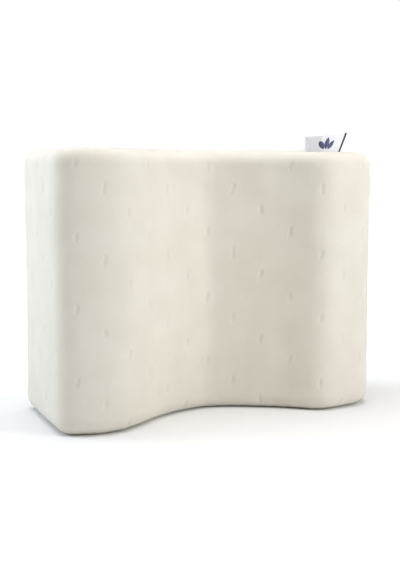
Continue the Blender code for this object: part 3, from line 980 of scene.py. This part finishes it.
def add_stops():
    """Crimped metal stops: clamped blocks, each with two pressed grooves."""
    for name in ("zip_top_stop_upper", "zip_top_stop_lower", "zip_bottom_stop"):
        low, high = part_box(name)
        shape = bmesh.new()
        bevelled_block(shape, low, high, 0.35 * MM)
        bmesh.ops.subdivide_edges(shape, edges=list(shape.edges), cuts=3, use_grid_fill=True)
        for vert in shape.verts:
            for share in (0.3, 0.7):
                groove = low.z + (high.z - low.z) * share
                press = math.exp(-(((vert.co.z - groove) / (0.28 * MM)) ** 2))
                if vert.co.y > (low.y + high.y) / 2:
                    vert.co.y -= 0.22 * MM * press
        stop = finish_shape(shape, name + "_crimp", METAL)
        place_piece(stop, "cushion", "zip_metal", name)


def applied(thing):
    """Replace an object's mesh by what its modifiers make of it."""
    mesh = bpy.data.meshes.new_from_object(thing.evaluated_get(bpy.context.evaluated_depsgraph_get()))
    thing.modifiers.clear()
    thing.data = mesh
    return thing


def joined(thing, operation, other):
    """Apply a Boolean with another object, which is then removed."""
    change = thing.modifiers.new(operation, "BOOLEAN")
    change.operation = operation
    change.solver = "EXACT"
    change.object = other
    applied(thing)
    bpy.data.objects.remove(other)


def bevelled_plate(name, outline, direction, width, segments=2):
    """A flat outline, extruded along a direction and given rounded edges."""
    shape = bmesh.new()
    face = shape.faces.new([shape.verts.new(point) for point in outline])
    grown = bmesh.ops.extrude_face_region(shape, geom=[face])["geom"]
    moved = [part for part in grown if isinstance(part, bmesh.types.BMVert)]
    bmesh.ops.translate(shape, verts=moved, vec=direction)
    bmesh.ops.recalc_face_normals(shape, faces=shape.faces)
    sharp = [edge for edge in shape.edges if edge.calc_face_angle(0) > math.radians(50)]
    bmesh.ops.bevel(shape, geom=sharp, offset=width, segments=segments, profile=0.5,
                    affect="EDGES", material=-1)
    return finish_shape(shape, name, METAL)


SLIDER_OUTLINE = ((-1, 0.80), (-0.84, 0.93), (-0.2, 1.0), (0.84, 0.98), (1, 0.86))
BRIDGE_REACH = 3.2 * MM
BRIDGE_FOOT = 0.35 * MM
BRIDGE_WALL = 0.9 * MM
BRIDGE_WIDTH = 1.6 * MM


def add_slider():
    """The slider: two waisted plates held apart by a web, with flanges outside the coils and a bridge."""
    low, high = SLIDER_LOW, SLIDER_HIGH
    middle = (low.x + high.x) / 2
    length = (high.x - low.x) / 2
    half = (high.z - low.z) / 2
    sink = 0.2 * MM
    plate_low, plate_top = BACK_Y + 0.1 * MM, BACK_Y + 0.9 * MM
    inner_top = low.y + 0.8 * MM
    side = [(middle + along * length, across * half) for along, across in SLIDER_OUTLINE]
    side += [(x, -across) for x, across in reversed(side)]
    slider = bevelled_plate("zip_slider_casting", [(x, plate_low, ZIP_Z + z) for x, z in side],
                            (0, plate_top - plate_low, 0), 0.14 * MM)
    inner = bevelled_plate("slider_inner_plate", [(x, low.y, ZIP_Z + z) for x, z in side],
                           (0, inner_top - low.y, 0), 0.14 * MM)
    walls = bmesh.new()
    ends = 1.1 * MM
    channel, flange = half - 0.8 * MM, half - 0.25 * MM
    for near, far in ((channel, flange), (-flange, -channel)):
        bevelled_block(walls, (low.x + ends, COIL_LOW.y + 0.1 * MM, ZIP_Z + near),
                       (high.x - ends, plate_low + sink, ZIP_Z + far), 0.12 * MM, 2)
    web = bmesh.new()
    bevelled_block(web, (low.x + 2.6 * MM, inner_top - sink, ZIP_Z - 0.17 * MM),
                   (high.x - 0.7 * MM, plate_low + sink, ZIP_Z + 0.17 * MM), 0.05 * MM, 2)
    joined(slider, "UNION", finish_shape(walls, "slider_flanges", METAL))
    joined(slider, "UNION", finish_shape(web, "slider_web", METAL))
    joined(slider, "UNION", inner)

    def arch(inset, turns):
        rise = high.y - inset - plate_low - BRIDGE_FOOT
        return [(middle - (BRIDGE_REACH - inset) * rounded(math.cos(turn), 0.45),
                 plate_low + BRIDGE_FOOT + rise * math.sin(turn) ** 0.45) for turn in turns]

    turns = np.linspace(0, math.pi, 17)
    outline = arch(0, turns) + arch(BRIDGE_WALL, turns[::-1])
    points = [(x, y, ZIP_Z - BRIDGE_WIDTH / 2) for x, y in outline]
    bridge = bevelled_plate("slider_bridge", points, (0, 0, BRIDGE_WIDTH), 0.2 * MM, 3)
    joined(slider, "UNION", bridge)
    finish_metal(slider)
    place_piece(slider, "slider", "zip_metal", "zip_slider_body")


def finish_metal(thing):
    shape = bmesh.new()
    shape.from_mesh(thing.data)
    bmesh.ops.triangulate(shape, faces=[face for face in shape.faces if len(face.verts) > 4])
    shape.to_mesh(thing.data)
    shape.free()
    thing.data.materials.clear()
    thing.data.materials.append(METAL)
    thing.data.shade_smooth()
    thing.data.set_sharp_from_angle(angle=math.radians(45))


def add_pull_tab():
    """The pull tab: a tapered plate with a rounded end, a sunk grip and the slot its bridge sits in."""
    low, high = TAB_LOW, TAB_HIGH
    middle_y = (low.y + high.y) / 2
    half = (high.z - low.z) / 2
    turns = np.linspace(-math.pi / 2, math.pi / 2, 13)
    outline = [(low.x + half - half * math.cos(t), ZIP_Z - half * math.sin(t)) for t in turns]
    neck = 0.82
    outline += [(high.x - 0.8 * MM, ZIP_Z - half * neck), (high.x, ZIP_Z - half * neck + 0.7 * MM),
                (high.x, ZIP_Z + half * neck - 0.7 * MM), (high.x - 0.8 * MM, ZIP_Z + half * neck)]
    points = [(x, low.y, z) for x, z in outline]
    tab = bevelled_plate("zip_pull_tab_plate", points, (0, high.y - low.y, 0), 0.2 * MM, 3)
    slot = bmesh.new()
    hinge = high.x - (high.y - low.y) / 2
    swing = math.hypot(BRIDGE_REACH, SLIDER_HIGH.y - middle_y) + 0.3 * MM
    bevelled_block(slot, (hinge - swing, low.y - 1 * MM, ZIP_Z - 1.1 * MM),
                   (hinge - 0.5 * MM, high.y + 1 * MM, ZIP_Z + 1.1 * MM), 0.4 * MM)
    joined(tab, "DIFFERENCE", finish_shape(slot, "tab_slot", METAL))
    grip_low, grip_high = low.x + 2.2 * MM, low.x + 13.5 * MM
    for side, level in ((1, high.y), (-1, low.y)):
        grip = bmesh.new()
        first, second = sorted((level - side * 0.22 * MM, level + side * 1 * MM))
        bevelled_block(grip, (grip_low, first, ZIP_Z - half + 1.1 * MM),
                       (grip_high, second, ZIP_Z + half - 1.1 * MM), 0.15 * MM)
        joined(tab, "DIFFERENCE", finish_shape(grip, "tab_grip", METAL))
        ribs = bmesh.new()
        for number in range(6):
            x = grip_low + 1.2 * MM + number * 1.75 * MM
            rib_low, rib_high = sorted((level - side * 0.4 * MM, level - side * 0.05 * MM))
            bevelled_block(ribs, (x, rib_low, ZIP_Z - half + 1.4 * MM),
                           (x + 0.6 * MM, rib_high, ZIP_Z + half - 1.4 * MM), 0.12 * MM, 2)
        joined(tab, "UNION", finish_shape(ribs, "tab_ribs", METAL))
    finish_metal(tab)
    place_piece(tab, "pull_tab", "zip_metal", "zip_pull_tab")


# ---------------------------------------------------------------- labels

def folded_label(name, surface, counts, thickness, material, uv_size):
    """A strip folded back on itself. Surface maps across and along to points, along the strip."""
    across, along = np.meshgrid(np.linspace(0, 1, counts[0] + 1), np.linspace(0, 1, counts[1] + 1))
    points = surface(across, along)
    shape = bmesh.new()
    run, rise = across * uv_size[0], along * uv_size[1]
    add_grid(shape, points, float_layers(shape, run=run, rise=rise, across=across))
    label = finish_shape(shape, name, material, recalc=False)
    add_cloth_map(label.data)
    wall = label.modifiers.new("wall", "SOLIDIFY")
    wall.thickness = thickness
    wall.offset = 0
    return label


def fold_path(along, length, radius):
    """Distance out and side offset along a strip that goes out by a length, folds over and returns."""
    bend = math.pi * radius
    whole = 2 * length + bend
    run = along * whole
    turn = np.clip((run - length) / radius, 0, math.pi)
    out = np.where(run < length, run, np.where(run > length + bend, whole - run, length))
    return out + radius * np.sin(turn), radius * np.cos(turn)


FLAG_LEFT_HEIGHT = 11 * MM
FLAG_SLANT = 8 * MM
FLAG_SINK = 1.5 * MM
FLAG_FOLD = 0.3 * MM
FLAG_CLOTH = 0.28 * MM


def flag_point(share, up, offset):
    """A point on the flag: share along it, up from 0 at the seam to 1 at the fold, and its offset."""
    base = FLAG_HIGH.z - FLAG_LOW.z
    height = FLAG_LEFT_HEIGHT + (base - FLAG_LEFT_HEIGHT) * share
    width = FLAG_HIGH.x - FLAG_LOW.x - FLAG_SLANT
    x = FLAG_LOW.x + share * (width + FLAG_SLANT * up)
    line = profile_line(RIM_SEAM)
    front = line[(line[:, 1] < 0) & (np.abs(line[:, 0]) < SIDE_SEAM_X)]
    front = front[np.argsort(front[:, 0])]
    y, ahead, behind = (np.interp(x + step, front[:, 0], front[:, 1]) for step in (0, 1 * MM, -1 * MM))
    tilt = (ahead - behind) / (2 * MM)
    size = np.hypot(1, tilt)
    free = np.clip(up, 0, 1)
    bow = (0.55 * np.sin(math.pi * share * 1.3 + 0.4) * free ** 2 - 0.5 * free) * MM
    push = offset + bow
    return np.stack([x + push * tilt / size, y - push / size, FLAG_LOW.z + height * up], axis=-1)


def add_flag():
    """The folded flag label in the top seam, with a sprig of leaves in indigo floss."""
    height = FLAG_HIGH.z - FLAG_LOW.z

    def surface(across, along):
        out, offset = fold_path(along, height + FLAG_SINK, FLAG_FOLD)
        return flag_point(across, (out - FLAG_SINK - FLAG_FOLD) / height, offset)

    width = FLAG_HIGH.x - FLAG_LOW.x
    strip = 2 * (height + FLAG_SINK)
    label = folded_label("flag_label_cloth", surface, (60, 72), FLAG_CLOTH, LABEL, (width, strip))
    place_piece(label, "cushion", "woven_label", "flag_label")

    shape = bmesh.new()
    leaves = ((0.0, 0.0, 10.6, 4.4), (-3.6, 0.2, 8.6, 4.0), (3.6, 0.2, 8.6, 4.0))
    surface_offset = FLAG_FOLD + FLAG_CLOTH / 2
    for aside, rise, length, breadth in leaves:
        turn = math.radians(8.5 * aside)
        grid = bmesh.ops.create_grid(shape, x_segments=8, y_segments=24, size=1)["verts"]
        for vert in grid:
            up = vert.co.y
            half = breadth / 2 * max(0.04, 1 - up * up) ** 0.8
            sideways = half * vert.co.x
            upright_part = length / 2 * (up + 1)
            x = aside * 0.55 + sideways * math.cos(turn) + upright_part * math.sin(turn)
            z = 1.6 + rise + upright_part * math.cos(turn) - sideways * math.sin(turn)
            crown = 0.16 * (1 - vert.co.x ** 2) * (1 - up ** 4)
            share = 0.47 + x / 32
            lift = surface_offset + crown * MM + 0.02 * MM
            point = flag_point(np.array(share), np.array((z * MM) / height), np.array(lift))
            vert.co = Vector([float(value) for value in point])
    sprig = finish_shape(shape, "flag_leaf_sprig", INDIGO, recalc=False)
    wall = sprig.modifiers.new("wall", "SOLIDIFY")
    wall.thickness = 0.12 * MM
    wall.offset = -1
    place_piece(sprig, "cushion", "woven_label")


def add_care_label():
    """A blank satin loop label, sewn into the side seam and lying on the back."""
    low, high = CARE_LOW, CARE_HIGH
    length, width = high.x - low.x, high.z - low.z
    layer = 0.22 * MM
    fold = (high.y - low.y - layer) / 2

    def surface(across, along):
        out, offset = fold_path(along, length - fold, fold)
        curl = 0.9 * MM * (out / length) ** 3 + 0.25 * MM * np.sin(out / length * 7 + across * 2)
        lift = 1.3 * MM * np.sin(np.clip(out / (16 * MM), 0, 1) * math.pi / 2)
        y = (low.y + high.y) / 2 - offset + np.maximum(curl, -0.1 * MM) + lift
        return np.stack([low.x + out, y, low.z + width * across], axis=-1)

    label = folded_label("care_label_cloth", surface, (24, 84), layer, CARE, (width, 2 * length))
    place_piece(label, "cushion", "care_satin", "care_label")


# ---------------------------------------------------------------- studio

def add_area_light(name, place, target, size, power, colour=(1, 1, 1)):
    data = bpy.data.lights.new(name, "AREA")
    data.shape = "RECTANGLE"
    data.size, data.size_y = size
    data.energy = power
    data.color = colour
    lamp = bpy.data.objects.new(name, data)
    bpy.context.scene.collection.objects.link(lamp)
    lamp.location = place
    lamp.rotation_euler = (Vector(target) - Vector(place)).to_track_quat("-Z", "Y").to_euler()
    lamp.visible_camera = False
    return lamp


CAMERA_TURN = math.radians(21.76)
BEYOND = (math.sin(CAMERA_TURN), math.cos(CAMERA_TURN), 0)


def add_floor():
    """A pale floor, lit from below beyond the cushion so that it fades into the white backdrop."""
    made, shader, tree = new_material("studio_floor", (0.87, 0.87, 0.87), 0.9)
    here = object_place(tree)
    distance = add_node(tree, "VectorMath", (here,), operation="LENGTH").outputs["Value"]
    grain = noise(tree, here, 30.0, 2.0)
    tree.links.new(mixed(tree, grain, (0.86, 0.86, 0.86), (0.88, 0.88, 0.88)), shader.inputs["Base Color"])
    glow = add_node(tree, "Emission")
    away = maths(tree, "POWER", spread(tree, distance, 0.24, 1.7), 0.5)
    beyond = add_node(tree, "VectorMath", (here, BEYOND), operation="DOT_PRODUCT").outputs["Value"]
    near = maths(tree, "MULTIPLY", away, spread(tree, beyond, -0.2, 0.25))
    lit = maths(tree, "MAXIMUM", near, spread(tree, distance, 0.9, 2.2))
    tree.links.new(lit, glow.inputs["Strength"])
    both = add_node(tree, "AddShader", (shader.outputs["BSDF"], glow.outputs["Emission"]))
    output = tree.nodes["Material Output"]
    tree.links.new(both.outputs["Shader"], output.inputs["Surface"])
    shape = bmesh.new()
    bmesh.ops.create_circle(shape, cap_ends=True, radius=6.0, segments=96)
    floor = finish_shape(shape, "studio_floor", made, recalc=False)


WORLD_LIGHT = 0.01


def add_world():
    world = bpy.data.worlds.new("studio")
    bpy.context.scene.world = world
    world.use_nodes = True
    tree = world.node_tree
    tree.nodes.clear()
    seen = add_node(tree, "Background", ((1, 1, 1, 1), 1.0))
    lit = add_node(tree, "Background", ((1, 1, 1, 1), WORLD_LIGHT))
    path = add_node(tree, "LightPath")
    blend = add_node(tree, "MixShader", (path.outputs["Is Camera Ray"],))
    tree.links.new(lit.outputs["Background"], blend.inputs[1])
    tree.links.new(seen.outputs["Background"], blend.inputs[2])
    output = add_node(tree, "OutputWorld")
    tree.links.new(blend.outputs["Shader"], output.inputs["Surface"])


CAMERA_DIP = math.radians(5.72)
CAMERA_ASIDE = 97.4 * MM
CAMERA_AWAY = 690 * MM
CAMERA_HEIGHT = 177.2 * MM


def add_camera():
    """A long lens, a little above the cushion, that looks at its scooped front from the left."""
    ahead = Vector(BEYOND)
    aside = Vector((ahead.y, -ahead.x, 0))
    corner = Vector((LOW.x, BACK_Y - 112 * MM, 0))
    place = corner + CAMERA_ASIDE * aside - CAMERA_AWAY * ahead + Vector((0, 0, CAMERA_HEIGHT))
    look = ahead * math.cos(CAMERA_DIP) - Vector((0, 0, math.sin(CAMERA_DIP)))
    data = bpy.data.cameras.new("camera")
    data.lens = 64.7
    data.sensor_width = 36
    camera = bpy.data.objects.new("camera", data)
    bpy.context.scene.collection.objects.link(camera)
    camera.location = place
    camera.rotation_euler = look.to_track_quat("-Z", "Y").to_euler()
    bpy.context.scene.camera = camera


OVERHEAD = 27.5
SIDE_LIGHTS = (
    ("right_box", 40, 5.0, (1.0, 1.0, 1.0)),
    ("left_box", -70, 0.7, (1.0, 0.9, 0.7)),
    ("end_box", -115, 5.5, (0.76, 0.86, 1.0)),
)


def add_studio():
    bpy.context.scene.view_settings.view_transform = "Standard"
    add_world()
    add_floor()
    add_camera()
    add_area_light("overhead", (0, 0.1, 1.5), (0, 0, 0), (1.6, 1.6), OVERHEAD)
    for name, turn, power, colour in SIDE_LIGHTS:
        turn = math.radians(turn)
        place = (0.9 * math.sin(turn), -0.9 * math.cos(turn), 0.4)
        add_area_light(name, place, (0, 0, 0.1), (0.5, 0.9), power, colour)


faces = add_cover()
add_core()
add_liner()
add_seam_thread(faces)
add_tapes()
add_coils()
add_stops()
add_slider()
add_pull_tab()
add_flag()
add_care_label()
add_studio()
